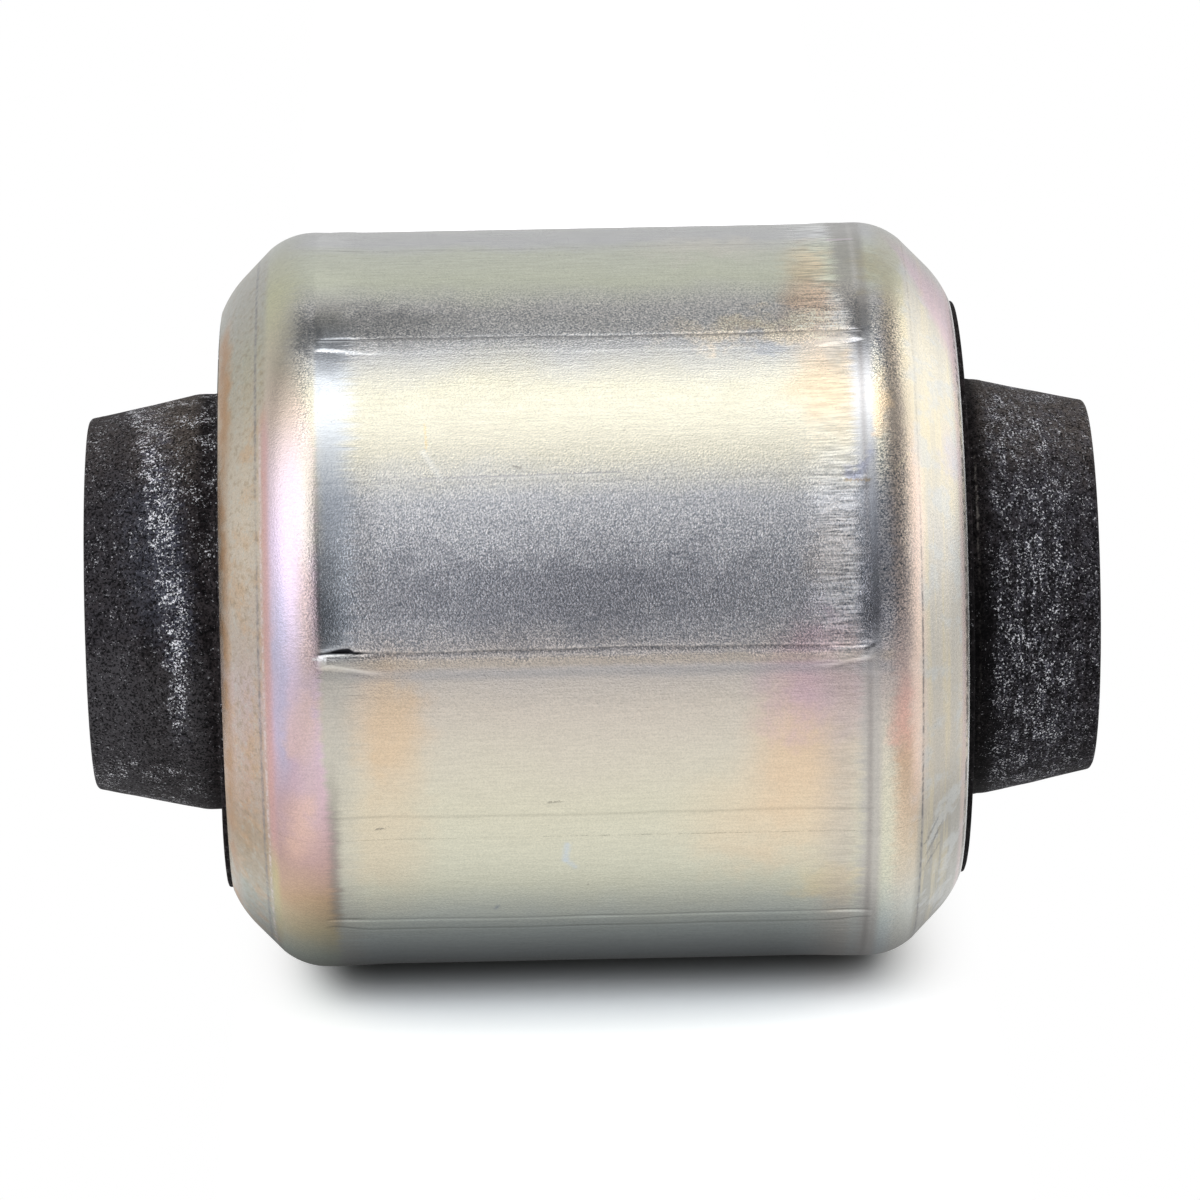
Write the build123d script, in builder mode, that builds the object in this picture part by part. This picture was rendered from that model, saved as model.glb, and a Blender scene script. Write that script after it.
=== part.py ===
from build123d import *

import os
from math import cos, radians, sin, tan

# A rubber metal bush for a suspension arm, in millimetres.
#
# The axis of the bush is +Z and the origin is its middle, so the bush stands on one end face of its
# inner sleeve. Three pieces are bonded into one: an outer steel sleeve with rolled ends, a rubber body
# that fills it and stands out as a nose at each end, and a thick inner steel sleeve for the bolt.
# The two halves of the bush, above and below the middle, are alike, so each section is drawn for the
# upper half and mirrored. In a section x is the radius and y the height.

# Inner sleeve: a tube for an M12 bolt, clamped by its end faces
overall_length = 69.4
bore_radius = 6.05
inner_sleeve_radius = 10.0
bore_chamfer = 0.8

# Outer sleeve, outside: a straight seat, then at each end a shoulder, a cone and a curled rim
outer_radius = 25.5
seat_length = 37.3
shoulder_radius = 4.8
shoulder_turn = 40.0
cone_slope = 45.5
cone_length = 2.6
rim_curl_radius = 7.5
rim_curl_turn = 23.0
rim_edge_break = 0.25

# Outer sleeve, inside: the sheet thickens toward the rim, where it was squeezed to a smaller round
wall = 2.0
rim_thickness = 2.3
inner_bend_rise = 0.7

# Rubber body: it fills the mouth of the rim, stands a little proud of it, and goes on as the nose
mouth_gap = 0.15
mouth_proud = 0.3
nose_radius = 14.42
nose_straight_end = 26.9
nose_bend_radius = 6.0
nose_taper = 11.6
root_break = 0.3
tip_setback = 0.15
tip_edge_break = 0.35

half_length = overall_length / 2
half_seat = seat_length / 2
rim_slope = cone_slope + rim_curl_turn
tip_height = half_length - tip_setback
tip_radius = nose_radius - (tip_height - nose_straight_end) * tan(radians(nose_taper))


def along_sheet(slope):
    """Direction of the sheet in its section, where it leans in from the axis by the slope in degrees."""
    return Vector(-sin(radians(slope)), cos(radians(slope)))


def into_sheet(slope):
    """Direction from the outside of the sheet square into it, at the same place."""
    return Vector(-cos(radians(slope)), -sin(radians(slope)))


def corner_at(section, point):
    """The corner of a section that stands nearest the given point."""
    return section.vertices().sort_by_distance(point)[0]


# The outside of the sheet from the middle of the bush to the rim
with BuildLine() as sheet_outside:
    seat = Line((outer_radius, 0), (outer_radius, half_seat))
    shoulder = JernArc(seat @ 1, along_sheet(0), shoulder_radius, shoulder_turn)
    cone = PolarLine(shoulder @ 1, cone_length, direction=along_sheet(cone_slope))
    rim_curl = JernArc(cone @ 1, along_sheet(cone_slope), rim_curl_radius, rim_curl_turn)

# The cut edge of the sheet is square to the curled rim; the inside is a cylinder and a cone
rim = rim_curl @ 1
rim_inside = rim + into_sheet(rim_slope) * rim_thickness
inner_bend = Vector(outer_radius - wall, half_seat + inner_bend_rise)

with BuildSketch() as sheet_section:
    with BuildLine():
        add(sheet_outside.line)
        Polyline(rim, rim_inside, inner_bend, (inner_bend.X, 0), (outer_radius, 0))
    make_face()
    chamfer(corner_at(sheet_section, rim), rim_edge_break)
    mirror(about=Plane.XZ)

with BuildPart() as outer_sleeve:
    with BuildSketch(Plane.XZ):
        add(sheet_section.sketch)
    revolve(axis=Axis.Z)

# Corners of the rubber that shows, from the mouth of the rim over the flat end face to the tip
mouth_seat = rim + into_sheet(rim_slope) * mouth_gap / cos(radians(rim_slope))
mouth_edge = Vector(mouth_seat.X, rim.Y + mouth_proud)
nose_root = Vector(nose_radius, mouth_edge.Y)
nose_bend = Vector(nose_radius, nose_straight_end)
tip_edge = Vector(tip_radius, tip_height)

# Rubber body: everything between the sleeves, bonded to the whole inside of the sheet and its cut edge
with BuildSketch() as rubber_section:
    with BuildLine():
        Polyline(
            (inner_sleeve_radius, 0),
            (inner_sleeve_radius, tip_height),
            tip_edge,
            nose_bend,
            nose_root,
            mouth_edge,
            mouth_seat,
            rim_inside,
            inner_bend,
            (inner_bend.X, 0),
            close=True,
        )
    make_face()
    chamfer(corner_at(rubber_section, tip_edge), tip_edge_break)
    chamfer(corner_at(rubber_section, nose_root), root_break)
    fillet(corner_at(rubber_section, nose_bend), nose_bend_radius)
    mirror(about=Plane.XZ)

with BuildPart() as rubber_body:
    with BuildSketch(Plane.XZ):
        add(rubber_section.sketch)
    revolve(axis=Axis.Z)

# Inner sleeve: a plain turned tube, chamfered where the bolt enters
with BuildPart() as inner_sleeve:
    Cylinder(inner_sleeve_radius, overall_length)
    Hole(bore_radius)
    bore_rims = inner_sleeve.edges().filter_by(GeomType.CIRCLE).group_by(SortBy.RADIUS)[0]
    chamfer(bore_rims, bore_chamfer)

outer_sleeve.part.label = "outer_sleeve"
rubber_body.part.label = "rubber_body"
inner_sleeve.part.label = "inner_sleeve"

os.makedirs("parts", exist_ok=True)
export_step(outer_sleeve.part, "parts/outer_sleeve.step")
export_step(rubber_body.part, "parts/rubber_body.step")
export_step(inner_sleeve.part, "parts/inner_sleeve.step")
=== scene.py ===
import math

import bpy
import numpy as np
from mathutils import Matrix, Vector


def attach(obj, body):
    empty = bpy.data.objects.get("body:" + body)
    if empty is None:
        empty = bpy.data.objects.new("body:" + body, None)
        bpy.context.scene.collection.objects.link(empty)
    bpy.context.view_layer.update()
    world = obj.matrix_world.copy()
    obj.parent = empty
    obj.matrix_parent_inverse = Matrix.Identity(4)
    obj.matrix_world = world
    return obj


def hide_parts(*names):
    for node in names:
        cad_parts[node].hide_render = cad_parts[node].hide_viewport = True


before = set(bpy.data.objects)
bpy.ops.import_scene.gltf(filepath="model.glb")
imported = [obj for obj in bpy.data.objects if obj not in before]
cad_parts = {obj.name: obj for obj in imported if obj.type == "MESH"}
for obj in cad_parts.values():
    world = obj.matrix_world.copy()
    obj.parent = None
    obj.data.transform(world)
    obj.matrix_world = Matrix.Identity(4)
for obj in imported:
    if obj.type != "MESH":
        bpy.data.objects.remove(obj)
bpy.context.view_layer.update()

# One millimetre, in the metres of the scene
MM = 0.001

# The bush lies on its outer sleeve, with its axis (+Z) across the picture. The floor touches the sleeve
# on its +X side, and the camera looks down on the floor by LOOK_DOWN degrees.
LOOK_DOWN = 17.0
look_down = math.radians(LOOK_DOWN)
TO_CAMERA = Vector((-math.sin(look_down), -math.cos(look_down), 0))
PICTURE_UP = Vector((-math.cos(look_down), math.sin(look_down), 0))
PICTURE_RIGHT = Vector((0, 0, 1))

# Dimensions of the solids, in millimetres
SEAT_RADIUS = 25.5
HALF_SEAT = 18.65
SHOULDER_RADIUS = 4.8
SHOULDER_TURN = 40.0
CONE_SLOPE = 45.5
CONE_LENGTH = 2.6
CURL_RADIUS = 7.5
CURL_TURN = 23.0
RIM_THICKNESS = 2.3
INNER_BEND = (23.5, 19.35)
MOUTH_GAP = 0.15
MOUTH_HEIGHT = 25.486
NOSE_RADIUS = 14.42
NOSE_STRAIGHT_END = 26.9
NOSE_TAPER = 11.6
TIP_HEIGHT = 34.55
INNER_RADIUS = 10.0
BORE_RADIUS = 6.05
BORE_CHAMFER = 0.8
HALF_LENGTH = 34.7

# Small rounds and ridges that only the scene shows, in millimetres
RIM_ROUND = 0.22
TIP_ROUND = 0.4
ROOT_ROUND = 0.35
EDGE_ROUND = 0.12
FLASH_HEIGHT = 26.35
RING_DEPTH = 0.006

# The sizing die: seven jaws, each a little flatter than the sleeve, with a fine split in its middle. The
# first seam is at FIRST_SEAM degrees. The jaws pressed the seat as far as DIE_EDGE mm from its middle.
JAW_COUNT = 7
JAW_STEP = 360.0 / JAW_COUNT
FIRST_SEAM = -8.3
DIE_EDGE = 18.3
JAW_FLATNESS = 0.11

# Across a seam, in millimetres: its land reaches from LAND_LOW to LAND_TOP, with a slit beside each edge.
# At its end it is only as wide as from TIP_LOW to TIP_TOP, and rises to a lip. The angle of the seam is that
# of SLIT_OFFSET, in the slit above the land.
SLIT_OFFSET = 0.6
LAND_LOW = -0.7
LAND_TOP = 0.5
TIP_LOW = -0.2
TIP_TOP = 0.54
LIP_HEIGHT = 0.14
SLIT_GAP = 0.13
SLIT_WIDTH = 0.1
LIP_CUT = 0.12

# An edge shows as sharp where its faces meet at more than this, in degrees
SHARP_ANGLE = 38.0


# ---- numbers and curves

def smooth_step(low, high, x):
    """0 below low, 1 above high, and smooth between."""
    t = np.clip((np.asarray(x, float) - low) / (high - low), 0, 1)
    return t * t * (3 - 2 * t)


def bump(x, centre, width):
    """A smooth hill of height 1."""
    return np.exp(-(((np.asarray(x, float) - centre) / width) ** 2))


def waves(phi, z, seed, count, turns, ripple):
    """Smooth unevenness round and along the bush, about -1 to 1: a sum of waves that close on themselves."""
    rng = np.random.default_rng(seed)
    total = 0
    for _ in range(count):
        m = rng.integers(-turns, turns + 1)
        n = rng.uniform(-ripple, ripple)
        total = total + np.cos(m * phi + n * z + rng.uniform(0, 2 * math.pi))
    return total / math.sqrt(count)


def arc(centre, radius, start, end, count):
    """Points of a circular arc in a section, from start to end degrees."""
    a = np.radians(np.linspace(start, end, count))
    return [(centre[0] + radius * math.cos(t), centre[1] + radius * math.sin(t)) for t in a]


def run(a, b, step):
    """Points of a straight run from a to b, about step apart, without the first."""
    length = math.dist(a, b)
    n = max(1, round(length / step))
    return [(a[0] + (b[0] - a[0]) * i / n, a[1] + (b[1] - a[1]) * i / n) for i in range(1, n + 1)]


def mirrored(points):
    """The same points on the lower half, in reverse order."""
    return [(r, -z) for r, z in reversed(points)]


# ---- meshes

def lathe(name, section, angles, shape=None):
    """A closed ring of quads: the closed section (radius, height in mm) turned through the angles (radians,
    from the direction of the camera, towards the top of the picture). shape(phi, r, z) returns new r, z."""
    section = np.array(section)
    phi, r = np.meshgrid(angles, section[:, 0])
    z = np.repeat(section[:, 1:2], len(angles), axis=1)
    if shape:
        r, z = shape(phi, r, z)
    out = np.cos(phi)[..., None] * np.array(TO_CAMERA) + np.sin(phi)[..., None] * np.array(PICTURE_UP)
    points = out * r[..., None]
    points[..., 2] = z
    rows, cols = phi.shape
    index = np.arange(rows * cols).reshape(rows, cols)
    a, b = index, np.roll(index, -1, axis=0)
    c, d = np.roll(b, -1, axis=1), np.roll(index, -1, axis=1)
    quads = np.stack([a, b, c, d], axis=-1).reshape(-1, 4)
    mesh = bpy.data.meshes.new(name)
    mesh.from_pydata((points.reshape(-1, 3) * MM).tolist(), [], quads.tolist())
    mesh.validate()
    mesh.polygons.foreach_set("use_smooth", [True] * len(mesh.polygons))
    mesh.set_sharp_from_angle(angle=math.radians(SHARP_ANGLE))
    mesh.update()
    obj = bpy.data.objects.new(name, mesh)
    bpy.context.scene.collection.objects.link(obj)
    return obj, phi, z


def keep_value(obj, name, values):
    """Stores one number for each point of a mesh, for its material."""
    attribute = obj.data.attributes.new(name, "FLOAT", "POINT")
    attribute.data.foreach_set("value", np.asarray(values, np.float32).ravel())


# Outer sleeve: the section of the sheet
shoulder = arc((SEAT_RADIUS - SHOULDER_RADIUS, HALF_SEAT), SHOULDER_RADIUS, 0, SHOULDER_TURN, 13)
slope = math.radians(CONE_SLOPE)
cone_end = (shoulder[-1][0] - CONE_LENGTH * math.sin(slope), shoulder[-1][1] + CONE_LENGTH * math.cos(slope))
curl_centre = (cone_end[0] - CURL_RADIUS * math.cos(slope), cone_end[1] - CURL_RADIUS * math.sin(slope))
rim_turn = CONE_SLOPE + CURL_TURN
rim_slope = math.radians(rim_turn)
rim = (curl_centre[0] + CURL_RADIUS * math.cos(rim_slope), curl_centre[1] + CURL_RADIUS * math.sin(rim_slope))
into = (-math.cos(rim_slope), -math.sin(rim_slope))
across = (-math.sin(rim_slope), math.cos(rim_slope))
# The curl ends where the round of the rim begins, about RIM_ROUND before its end
curl = arc(curl_centre, CURL_RADIUS, CONE_SLOPE, rim_turn - 1.6, 9)
bead_centre = (rim[0] + (into[0] - across[0]) * RIM_ROUND, rim[1] + (into[1] - across[1]) * RIM_ROUND)
bead = arc(bead_centre, RIM_ROUND, rim_turn, rim_turn + 90, 6)
rim_inside = (rim[0] + into[0] * RIM_THICKNESS, rim[1] + into[1] * RIM_THICKNESS)

# The points of the seat stand close together near its end, where the seams have their lips
seat = [(SEAT_RADIUS, z) for z in (0, 1.4, 2.8, 4.2, 5.6, 7.0, 8.4, 9.8, 11.0, 12.0, 12.8)]
seat += [(SEAT_RADIUS, z) for z in np.arange(13.2, 18.6, 0.2)]
sleeve_half = (
    seat
    + shoulder
    + run(shoulder[-1], cone_end, 0.45)
    + curl[1:]
    + bead
    + run(bead[-1], rim_inside, 0.7)
    + run(rim_inside, INNER_BEND, 1.5)
    + run(INNER_BEND, (INNER_BEND[0], 0), 3.0)
)
sleeve_section = mirrored(sleeve_half[:-1])[:-1] + sleeve_half

seam_angles = FIRST_SEAM + JAW_STEP / 2 * np.arange(2 * JAW_COUNT)
# How each seam shows: angle in degrees by which it strays, height of its land in mm, depth of the slit
# above it and of the one below it, and the lips at its lower and upper end (-Z and +Z). Seams between jaws
# and splits in jaws take turns.
SEAM_LOOKS = {
    0: (0.0, 0.006, 0.024, 0.0, 1.0, 0.7),
    1: (-0.3, 0.003, 0.003, 0.0, 0.0, 0.1),
    2: (-0.3, 0.006, 0.018, 0.0, 0.3, 0.4),
    3: (0.0, 0.004, 0.006, 0.0, 0.1, 0.2),
    12: (0.8, 0.012, 0.014, 0.014, 0.16, 0.3),
    13: (-1.4, 0.002, 0.010, 0.0, 0.0, 0.05),
}

# Points round the sleeve, in mm from each seam to the next: close together across the seam, wide between
across_seam = [-1.3, -1.1, -0.95, -0.84, -0.73, -0.62, -0.51, -0.4, -0.29, -0.18, -0.07]
across_seam += [0.06, 0.2, 0.32, 0.43, 0.53, 0.62, 0.71, 0.8, 0.9, 1.02, 1.2]
seam_distance = JAW_STEP / 360 * math.pi * SEAT_RADIUS
beside_seam = np.linspace(2.2, seam_distance - 2.2, 9)
around = np.degrees((np.concatenate([across_seam, beside_seam]) - SLIT_OFFSET) / SEAT_RADIUS)
strays = [SEAM_LOOKS[n][0] if n in SEAM_LOOKS else 0.0 for n in range(len(seam_angles))]
sleeve_angles = np.radians(np.concatenate([a + stray + around for a, stray in zip(seam_angles, strays)]))


def seam_form(phi, z):
    """For points of the seat: height of the seams in mm, dirt and painted shade in the slits, and painted
    highlights on the lips.
    """
    height, slit_dirt_and_shade, lip_highlight = np.zeros_like(phi), np.zeros_like(phi), np.zeros_like(phi)
    rng = np.random.default_rng(41)
    for number, angle in enumerate(seam_angles):
        wander = 0.06 * np.cos(0.21 * z + rng.uniform(0, 6)) + 0.03 * np.cos(0.7 * z + rng.uniform(0, 6))
        split = number % 2
        plain = (0.0, 0.003, 0.008, 0.0) if split else (0.0, 0.012, 0.014, 0.008)
        plain += tuple(rng.uniform(0.0, 0.15, 2) if split else rng.uniform(0.3, 0.8, 2))
        stray, land_height, upper_cut, lower_cut, *lips = SEAM_LOOKS.get(number, plain)
        away = (phi - math.radians(angle + stray) + math.pi) % (2 * math.pi) - math.pi
        s = away * SEAT_RADIUS - wander + SLIT_OFFSET
        for side, strong in zip((-1, 1), lips):
            # Near the end of the grip the land narrows to a tip and rises to a lip. At the lower end of the
            # bush the slit above it gapes.
            reach = rng.uniform(3.6, 4.8)
            back = DIE_EDGE - side * z
            here = (side * z >= 0) & (back > -0.4)
            inside = smooth_step(-0.35, -0.1, back)
            lip = strong * inside * (1 - smooth_step(0.35 * reach, reach, back))
            breadth = smooth_step(0, 0.8 * reach, back)
            low = TIP_LOW + (LAND_LOW - TIP_LOW) * breadth
            top = TIP_TOP + (LAND_TOP - TIP_TOP) * breadth
            land = smooth_step(low - 0.14, low + 0.06, s) * (1 - smooth_step(top - 0.1, top + 0.08, s))
            gape = lip * (side < 0) * smooth_step(-0.3, 1.6, back) * (1 - smooth_step(1.9, 2.3, back))
            slit_above = bump(s, top + SLIT_GAP + 0.12 * gape, SLIT_WIDTH * (1 + gape))
            slit_below = bump(s, low - SLIT_GAP, SLIT_WIDTH)
            rise = inside * land_height + LIP_HEIGHT * lip
            wedge = bump(back, 0.5 * reach, 0.3 * reach)
            cut_above = inside * upper_cut + LIP_CUT * lip * wedge
            cut_below = inside * lower_cut + 0.03 * lip * bump(back, 0.7 * reach, 0.3 * reach)
            height += np.where(here, land * rise - slit_above * cut_above - slit_below * cut_below, 0)
            # The slits are darkened with dirt and painted shade, most where they are deep and beside the lips
            dark = slit_above * (20 * upper_cut * inside + (0.8 - 0.4 * side) * lip * wedge + 0.7 * gape)
            dark += slit_below * (16 * lower_cut * inside + 0.6 * lip * bump(back, 0.6 * reach, 0.35 * reach))
            slit_dirt_and_shade = np.maximum(slit_dirt_and_shade, np.where(here, dark, 0))
            # A painted highlight along the upper edge of each lip, and a fainter one over its land
            shine = bump(s, top - 0.08, 0.1) * lip * (1 - smooth_step(2.0, 3.0, back))
            lip_highlight = np.maximum(lip_highlight, np.where(here, np.maximum(shine, 0.4 * land * lip), 0))
    return height, slit_dirt_and_shade, lip_highlight


def is_on_seat(r):
    """True for radii of the seat."""
    return np.abs(r - SEAT_RADIUS) < 0.02


def sleeve_shape(phi, r, z):
    """Panels, seams, die edges and the slight unevenness of the pressed sheet."""
    pressed = 1 - smooth_step(DIE_EDGE - 0.25, DIE_EDGE + 0.1, np.abs(z))
    faded = 1 - smooth_step(14.0, 18.6, np.abs(z))
    jaw = (np.degrees(phi) - FIRST_SEAM) / JAW_STEP
    within = (jaw - np.floor(jaw)) * 2 - 1
    flat = -JAW_FLATNESS * (1 - within**2)
    height, _, _ = seam_form(phi, z)
    lead_in = -0.012 * bump(np.abs(z), 17.4, 0.9)
    uneven = 0.006 * waves(phi, z, 3, 14, 9, 0.5)
    die_form = np.where(is_on_seat(r), faded * flat + pressed * (height + lead_in), 0)
    # The inner edge of the rim, inside the rubber, stays even
    return r + (die_form + np.where(r > SEAT_RADIUS - 6, uneven, 0)), z


sleeve, phi, z = lathe("outer_sleeve_look", sleeve_section, sleeve_angles, sleeve_shape)
seat_rows = is_on_seat(np.array(sleeve_section)[:, :1])
_, slit_dirt_and_shade, lip_highlight = seam_form(phi, z)
keep_value(sleeve, "slit_dirt_and_shade", slit_dirt_and_shade * seat_rows)
keep_value(sleeve, "lip_highlight", lip_highlight * seat_rows)


# Rubber body: nose and mouth in the camera's sight, and the plain form inside the sleeve
taper = math.tan(math.radians(NOSE_TAPER))
tip_radius = NOSE_RADIUS - (TIP_HEIGHT - NOSE_STRAIGHT_END) * taper
mouth_radius = rim[0] - MOUTH_GAP
mouth_foot = (mouth_radius, rim[1] - MOUTH_GAP * math.tan(rim_slope))
mouth_round = (mouth_radius - EDGE_ROUND, MOUTH_HEIGHT - EDGE_ROUND)
root_round = (NOSE_RADIUS + ROOT_ROUND, MOUTH_HEIGHT + ROOT_ROUND)
rubber_half = [(INNER_RADIUS, 0)]
rubber_half += run((INNER_RADIUS, 0), (INNER_RADIUS, TIP_HEIGHT), 4.0)
rubber_half += run((INNER_RADIUS, TIP_HEIGHT), (tip_radius - 0.42, TIP_HEIGHT), 0.3)
rubber_half += arc((tip_radius - 0.36, TIP_HEIGHT - TIP_ROUND), TIP_ROUND, 84, 12, 6)
rubber_half += run(rubber_half[-1], (NOSE_RADIUS - 0.12, NOSE_STRAIGHT_END + 0.6), 0.16)
rubber_half += [(NOSE_RADIUS - 0.05, NOSE_STRAIGHT_END + 0.3), (NOSE_RADIUS - 0.012, NOSE_STRAIGHT_END)]
rubber_half += [(NOSE_RADIUS, z) for z in (FLASH_HEIGHT + 0.25, FLASH_HEIGHT, FLASH_HEIGHT - 0.25)]
rubber_half += arc(root_round, ROOT_ROUND, 180, 270, 6)
rubber_half += run((root_round[0], MOUTH_HEIGHT), (mouth_round[0], MOUTH_HEIGHT), 0.35)
rubber_half += arc(mouth_round, EDGE_ROUND, 80, 0, 4)
rubber_half += run((mouth_radius, mouth_round[1]), mouth_foot, 0.3)
rubber_half += run(mouth_foot, rim_inside, 1.0)
rubber_half += run(rim_inside, INNER_BEND, 2.0)
rubber_half += run(INNER_BEND, (INNER_BEND[0], 0), 5.0)
rubber_section = rubber_half[1:] + mirrored(rubber_half)[1:] + [(INNER_RADIUS, 0)]


def rubber_shape(phi, r, z):
    """The slight waviness of the moulded nose, a ragged thread of flash near its upper root, and the lower
    end face, which stands out less everywhere but on the side away from the top of the picture."""
    shown = (np.abs(z) > 25.3) & (r > INNER_RADIUS + 0.1)
    uneven = 0.03 * waves(phi, z, 11, 16, 7, 0.6) + 0.012 * waves(phi, z, 12, 20, 40, 3.0)
    flash = bump(z, FLASH_HEIGHT, 0.09) * (0.5 + 0.5 * waves(phi, 0 * z, 13, 12, 60, 1.0))
    face = (z < -25.0) & (r > NOSE_RADIUS + 0.3)
    sunk = 0.3 * smooth_step(-0.9, -0.2, np.sin(phi)) * face
    return r + np.where(shown, uneven + 0.08 * np.clip(flash, 0, 1), 0), z + sunk


rubber_angles = np.linspace(0, 2 * math.pi, 360, endpoint=False)
rubber, _, _ = lathe("rubber_body_look", rubber_section, rubber_angles, rubber_shape)


# Inner sleeve: end faces with the rings of the turning tool, and a chamfered bore
inner_half = [(BORE_RADIUS, 0)]
inner_half += run((BORE_RADIUS, 0), (BORE_RADIUS, HALF_LENGTH - BORE_CHAMFER - 0.04), 3.0)
chamfer_start = (BORE_RADIUS + 0.03, HALF_LENGTH - BORE_CHAMFER + 0.03)
chamfer_end = (BORE_RADIUS + BORE_CHAMFER - 0.03, HALF_LENGTH - 0.03)
inner_half += run(chamfer_start, chamfer_end, 0.3)
face_start = (BORE_RADIUS + BORE_CHAMFER + 0.04, HALF_LENGTH)
inner_half += run(face_start, (INNER_RADIUS - 1.5 * EDGE_ROUND, HALF_LENGTH), 0.12)
inner_half += arc((INNER_RADIUS - EDGE_ROUND, HALF_LENGTH - EDGE_ROUND), EDGE_ROUND, 78, 0, 4)
inner_half += run((INNER_RADIUS, HALF_LENGTH - EDGE_ROUND), (INNER_RADIUS, 0), 5.0)
inner_section = inner_half[1:] + mirrored(inner_half)[1:]


def inner_shape(phi, r, z):
    """Fine turned rings on the two end faces."""
    face = (np.abs(z) > HALF_LENGTH - 0.001) & (r > BORE_RADIUS + 0.9) & (r < INNER_RADIUS - 0.2)
    ring = RING_DEPTH * np.sin(r * 26.0) * np.sin(r * 7.0 + 1.0)
    return r, z - np.where(face, np.sign(z) * (RING_DEPTH + ring), 0)


inner_angles = np.linspace(0, 2 * math.pi, 192, endpoint=False)
inner, _, _ = lathe("inner_sleeve_look", inner_section, inner_angles, inner_shape)

for piece, node, slot in (
    (sleeve, "outer_sleeve", "zinc_plated_steel"),
    (rubber, "rubber_body", "rubber"),
    (inner, "inner_sleeve", "turned_steel"),
):
    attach(piece, "root")
    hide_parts(node)


# ---- material tools

class Graph:
    """Short names for the nodes of one material or world."""

    def __init__(self, owner):
        owner.use_nodes = True
        self.owner = owner
        self.tree = owner.node_tree
        self.tree.nodes.clear()

    def node(self, kind, values=(), **settings):
        """A shader node of that kind; values maps names or numbers of inputs to links or numbers."""
        node = self.tree.nodes.new("ShaderNode" + kind)
        for key, value in settings.items():
            setattr(node, key, value)
        for key, value in dict(values).items():
            socket = node.inputs[key]
            if isinstance(value, bpy.types.NodeSocket):
                self.tree.links.new(value, socket)
            else:
                socket.default_value = value
        return node

    def math(self, operation, a, b=0, c=0, clamp=False):
        return self.node("Math", {0: a, 1: b, 2: c}, operation=operation, use_clamp=clamp).outputs[0]

    def plus(self, a, b):
        return self.math("ADD", a, b)

    def minus(self, a, b):
        return self.math("SUBTRACT", a, b)

    def times(self, first, *others):
        """The product of two or more numbers."""
        for other in others:
            first = self.math("MULTIPLY", first, other)
        return first

    def most(self, a, b):
        """The greater number."""
        return self.math("MAXIMUM", a, b)

    def size_of(self, x):
        """The number without its sign."""
        return self.math("ABSOLUTE", x)

    def scaled(self, x, factor, start):
        """The number times the factor, added to the start."""
        return self.math("MULTIPLY_ADD", x, factor, start)

    def without(self, x, share):
        """What is left of 1 when the share of the number is taken off."""
        return self.minus(1, self.times(x, share))

    def wavy(self, value, noise, amount):
        """The value moved up and down by the noise, by about the amount."""
        return self.plus(value, self.scaled(noise, 4 * amount, -2 * amount))

    def vector(self, operation, a, b=(0, 0, 0)):
        node = self.node("VectorMath", {0: a, 1: b}, operation=operation)
        return node.outputs["Value" if operation in ("DOT_PRODUCT", "LENGTH") else "Vector"]

    def mix(self, share, a, b, blend="MIX"):
        """Colour a to colour b by the share."""
        node = self.node("Mix", {"Factor": share, 6: a, 7: b}, data_type="RGBA", blend_type=blend)
        return node.outputs[2]

    def paint(self, colour, where, hue, strength=1):
        """Paints the hue (0 to 255 numbers) over the colour, as far as the mask and the strength say."""
        if strength != 1:
            where = self.times(where, strength)
        return self.mix(where, colour, rgb(*hue))

    def mix_shaders(self, share, a, b):
        """Shader a to shader b by the share."""
        return self.node("MixShader", {0: share, 1: a, 2: b}).outputs[0]

    def point(self, x, y):
        return self.node("CombineXYZ", {0: x, 1: y}).outputs[0]

    def step(self, x, low, high, out_low=0, out_high=1):
        """out_low below low, out_high above high, smooth between."""
        values = {0: x, 1: low, 2: high, 3: out_low, 4: out_high}
        return self.node("MapRange", values, interpolation_type="SMOOTHSTEP").outputs[0]

    def hill(self, x, centre, width):
        """1 at the centre, falling smoothly to 0 at the width on both sides."""
        return self.step(self.size_of(self.minus(x, centre)), 0, width, 1, 0)

    def between(self, x, low, low_edge, high, high_edge):
        """1 from low to high, falling to 0 over the widths of the edges."""
        rise = self.step(x, low - low_edge, low + low_edge)
        return self.times(rise, self.step(x, high - high_edge, high + high_edge, 1, 0))

    def noise(self, where, scale, detail, rough, shift=None, stretch=None):
        """Cloudy noise, about 0.3 to 0.7, in grains of about 1 / scale. A small number in stretch makes the
        grains longer that way."""
        if shift:
            where = self.vector("ADD", where, shift)
        if stretch:
            where = self.vector("MULTIPLY", where, stretch)
        values = {"Vector": where, "Scale": scale, "Detail": detail, "Roughness": rough}
        return self.node("TexNoise", values).outputs["Fac"]

    def ramp(self, x, stops):
        """Colour from a number: stops are (place, colour)."""
        node = self.node("ValToRGB", {0: x})
        elements = node.color_ramp.elements
        while len(elements) < len(stops):
            elements.new(0.5)
        for element, (place, colour) in zip(elements, stops):
            element.position = place
            element.color = (*colour, 1)
        return node.outputs["Color"]


def rgb(red, green, blue):
    """A linear colour from the 0 to 255 numbers of a colour picker."""
    def linear(v):
        v = v / 255
        return v / 12.92 if v <= 0.04045 else ((v + 0.055) / 1.055) ** 2.4

    return (linear(red), linear(green), linear(blue), 1)


def new_material(name):
    """The empty graph of a new material."""
    return Graph(bpy.data.materials.new(name))


def finish_material(graph, obj, shader):
    """Ends the material in the shader and puts it on the object."""
    graph.node("OutputMaterial", {"Surface": shader})
    obj.data.materials.clear()
    obj.data.materials.append(graph.owner)


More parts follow.
